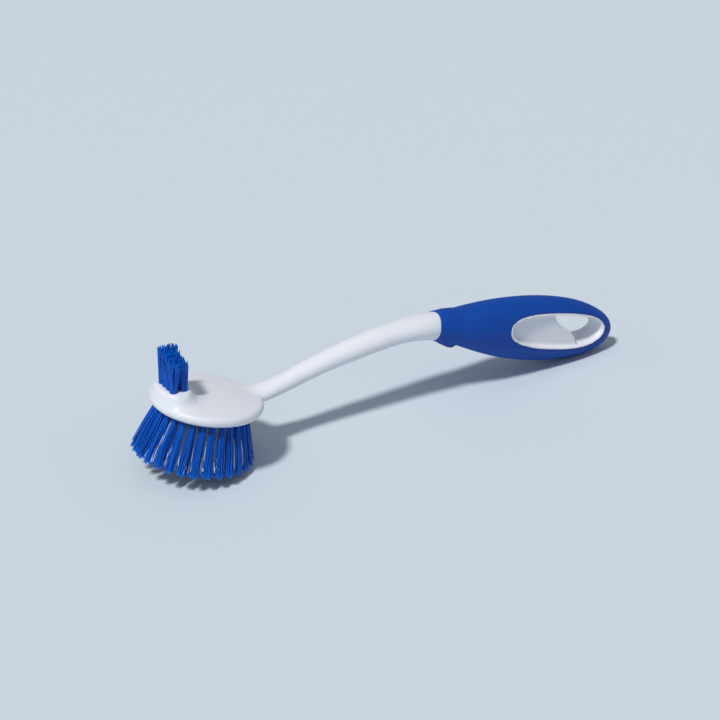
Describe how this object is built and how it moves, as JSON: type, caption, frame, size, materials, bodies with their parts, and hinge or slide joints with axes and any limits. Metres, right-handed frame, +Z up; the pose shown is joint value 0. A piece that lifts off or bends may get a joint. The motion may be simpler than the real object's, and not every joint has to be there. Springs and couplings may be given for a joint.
{
  "type": "dish brush",
  "caption": "Dish brush with a round head of splayed tufts, a small scraper tuft block on the toe, a curved white handle and a soft blue grip with a hanging hole.",
  "frame": {"origin": "on the table, below the middle of the brush's own box, as it rests on its tufts and grip", "axes": "+X from the head towards the end of the grip, +Y across the brush, +Z up from the table"},
  "size_m": [0.2852, 0.061, 0.0638],
  "materials": {
    "core_white": "satin white polypropylene",
    "grip_blue": "smooth matte blue soft-touch elastomer",
    "bristle_blue": "glossy blue nylon filament",
    "bristle_white": "milky translucent nylon filament",
    "staple_metal": "plain flat steel wire"
  },
  "bodies": {
    "root": {"core": "core_white", "grip": "grip_blue", "inner_anchors": "staple_metal", "inner_ring_tufts": "bristle_white", "outer_anchors": "staple_metal", "outer_tuft_01": "bristle_blue", "outer_tuft_02": "bristle_blue", "outer_tuft_03": "bristle_blue", "outer_tuft_04": "bristle_blue", "outer_tuft_05": "bristle_blue", "outer_tuft_06": "bristle_blue", "outer_tuft_07": "bristle_blue", "outer_tuft_08": "bristle_blue", "outer_tuft_09": "bristle_blue", "outer_tuft_10": "bristle_blue", "outer_tuft_11": "bristle_blue", "outer_tuft_12": "bristle_blue", "outer_tuft_13": "bristle_blue", "outer_tuft_14": "bristle_blue", "outer_tuft_15": "bristle_blue", "outer_tuft_16": "bristle_blue", "outer_tuft_17": "bristle_blue", "outer_tuft_18": "bristle_blue", "outer_tuft_19": "bristle_blue", "outer_tuft_20": "bristle_blue", "outer_tuft_21": "bristle_blue", "outer_tuft_22": "bristle_blue", "outer_tuft_23": "bristle_blue", "outer_tuft_24": "bristle_blue", "outer_tuft_25": "bristle_blue", "outer_tuft_26": "bristle_blue", "outer_tuft_27": "bristle_blue", "outer_tuft_28": "bristle_blue", "scraper_anchors": "staple_metal", "scraper_tuft_01": "bristle_blue", "scraper_tuft_02": "bristle_blue", "scraper_tuft_03": "bristle_blue", "scraper_tuft_04": "bristle_blue", "scraper_tuft_05": "bristle_blue", "scraper_tuft_06": "bristle_blue", "scraper_tuft_07": "bristle_blue", "scraper_tuft_08": "bristle_blue", "second_anchors": "staple_metal", "second_ring_tufts": "bristle_white", "third_anchors": "staple_metal", "third_ring_tufts": "bristle_white"}
  },
  "joints": []
}
